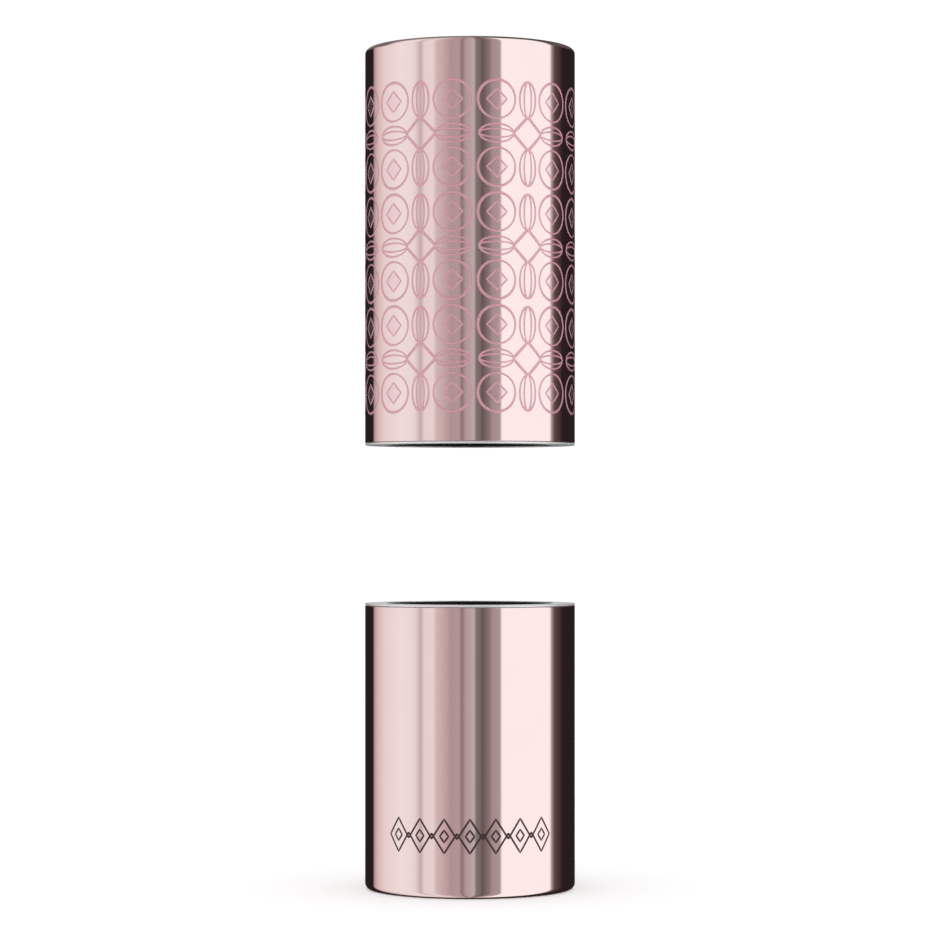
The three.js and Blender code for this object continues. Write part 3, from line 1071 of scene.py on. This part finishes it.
# %% The cards round the case
CARDS = [                    # (direction in degrees, brightness, warmth)
    (-180, 0.50, 0.0), (-174, 0.02, 0.3), (-133.3, 0.02, 0.35), (-128.6, 0.47, 0.21),
    (-122, 0.66, 0.18), (-108, 0.80, 0.08), (-82, 0.865, 0.02), (-66, 0.84, 0.03),
    (-61.3, 0.79, 0.07), (-55.5, 0.54, 0.13), (-50.8, 0.79, 0.06), (-40.5, 0.81, 0.05),
    (-37, 0.64, 0.13), (-26, 0.52, 0.20), (-21, 0.425, 0.20), (-11.5, 0.45, 0.19),
    (-9, 0.235, 0.24), (-5, 0.43, 0.16), (4.6, 0.51, 0.06), (6.4, 0.215, 0.12),
    (11, 0.195, 0.16), (13.2, 0.125, 0.22), (21.5, 0.26, 0.16), (24, 0.37, 0.17),
    (33, 0.42, 0.14), (35.2, 1.0, 0.01), (97.5, 1.0, 0.01), (101, 0.36, 0.18),
    (106, 0.105, 0.38), (122, 0.022, 0.35), (174, 0.02, 0.3), (180, 0.55, 0.0),
]


def card_shade(brightness, warmth):
    return (brightness, brightness * (1 - warmth), brightness * (1 - warmth))


world = bpy.data.worlds.new("studio")
bpy.context.scene.world = world
world.use_nodes = True
world.node_tree.nodes.clear()
sky = Nodes(world.node_tree)
look_x, look_y, look_z = sky.split(sky.add("ShaderNodeTexCoord", output="Generated"))
heading = sky.math("ARCTAN2", look_x, 0 - look_y) * (1 / math.tau) + 0.5
cards = sky.add("ShaderNodeValToRGB",
                {"stops": [((direction + 180) / 360, card_shade(brightness, warmth))
                           for direction, brightness, warmth in CARDS]},
                {"Fac": heading})
lean = look_z / sky.math("SQRT", sky.math("MAXIMUM", 2 - look_y * 2, 1e-6))
WHITE = rgb(1.0, 1.0, 1.0)
SOFTBOX = rgb(0.88, 0.87, 0.87)
TABLE = rgb(0.025, 0.02, 0.02)
FLAG = [                     # (how far to the right, brightness)
    (-0.6, 0.15), (-0.35, 0.24), (-0.05, 0.28), (0.22, 0.06), (0.4, 0.05), (0.52, 0.11)]
FLAG_WARMTH = 0.12
FLAG_LEAN = 0.52, 0.66       # where the cards give way to the flag
SOFTBOX_LEAN = 0.955, 0.985
TABLE_LEAN = 0.74, 0.82      # this one downwards
BEHIND_RISE = 0.16, 0.30     # where the flag begins behind the case
BEHIND_REACH = 0.0, 0.4
STRENGTH = 1.03
flag = sky.add("ShaderNodeValToRGB",
               {"stops": [(side * 0.5 + 0.5, card_shade(shade, FLAG_WARMTH))
                          for side, shade in FLAG]},
               {"Fac": look_x * 0.5 + 0.5})
roof = sky.mix(sky.ramp_between(*SOFTBOX_LEAN, lean), flag, SOFTBOX)
behind = sky.ramp_between(*BEHIND_RISE, look_z) * sky.ramp_between(*BEHIND_REACH, look_y)
overhead = sky.math("MAXIMUM", sky.ramp_between(*FLAG_LEAN, lean), behind)
glossy = sky.mix(overhead, cards, roof)
glossy = sky.mix(sky.ramp_between(*TABLE_LEAN, 0 - lean), glossy, TABLE)
camera_ray = sky.add("ShaderNodeLightPath")
light = sky.mix(camera_ray.other("Is Glossy Ray"), WHITE, glossy)
light = sky.mix(camera_ray, light, WHITE)
backdrop = sky.add("ShaderNodeBackground", {}, {"Color": light, "Strength": STRENGTH})
sky.add("ShaderNodeOutputWorld", {}, {"Surface": backdrop})
print("studio cards:", len(CARDS))

# %% [markdown]
# The floor is a plain pale disc of backlit acrylic. It catches the soft contact shadow
# under the base. Glossy rays pass it by, so the cards run down to the foot of the mirror.

# %% Floor
FLOOR_RADIUS = 4.0           # in metres, to reach past every view
FLOOR_LEVEL = -0.02          # a hair under the base, so the two faces don't meet
floor_mesh = bpy.data.meshes.new("floor")
shape = bmesh.new()
bmesh.ops.create_circle(shape, cap_ends=True, segments=96, radius=FLOOR_RADIUS,
                        matrix=Matrix.Translation((0.0, 0.0, FLOOR_LEVEL * MM)))
shape.to_mesh(floor_mesh)
shape.free()
floor = bpy.data.objects.new("floor", floor_mesh)
bpy.context.scene.collection.objects.link(floor)
floor_finish, floor_nodes = new_finish("pale_floor")
floor_place = floor_nodes.add("ShaderNodeTexCoord", output="Object")
floor_cloud = grain(floor_nodes, floor_place, 0.004)
floor_tone = floor_nodes.mix(floor_cloud, rgb(0.975, 0.972, 0.97), rgb(0.985, 0.985, 0.985))
close_finish(floor_nodes, floor_tone, 0.9, Specular_IOR_Level=0.0,
             Emission_Color=WHITE, Emission_Strength=0.1)
floor.data.materials.append(floor_finish)
floor.visible_glossy = False
print("floor radius:", FLOOR_RADIUS, "m")

# %% [markdown]
# ## Camera
# A long lens, level, a little below the middle of the case. Keeping the camera level keeps
# the walls upright, and the lens is shifted to bring the whole case into view.

# %% Camera
EYE_LEVEL = 37.5
EYE_DISTANCE = 346.8
SENSOR = 36.0
FRAME_WIDTH = 96.25          # what the camera takes in at the case's axis
FRAME_CENTRE = 42.8

camera_data = bpy.data.cameras.new("camera")
camera_data.sensor_width = SENSOR
camera_data.lens = SENSOR * EYE_DISTANCE / FRAME_WIDTH
camera_data.shift_y = (FRAME_CENTRE - EYE_LEVEL) / FRAME_WIDTH
camera_data.clip_start = 0.01
camera = bpy.data.objects.new("camera", camera_data)
camera.location = (0.0, -EYE_DISTANCE * MM, EYE_LEVEL * MM)
camera.rotation_euler = (math.pi / 2, 0.0, 0.0)
bpy.context.scene.collection.objects.link(camera)
bpy.context.scene.camera = camera
bpy.context.scene.view_settings.view_transform = "Standard"
print(f"lens {camera_data.lens:.1f} mm, shift {camera_data.shift_y:.3f}")
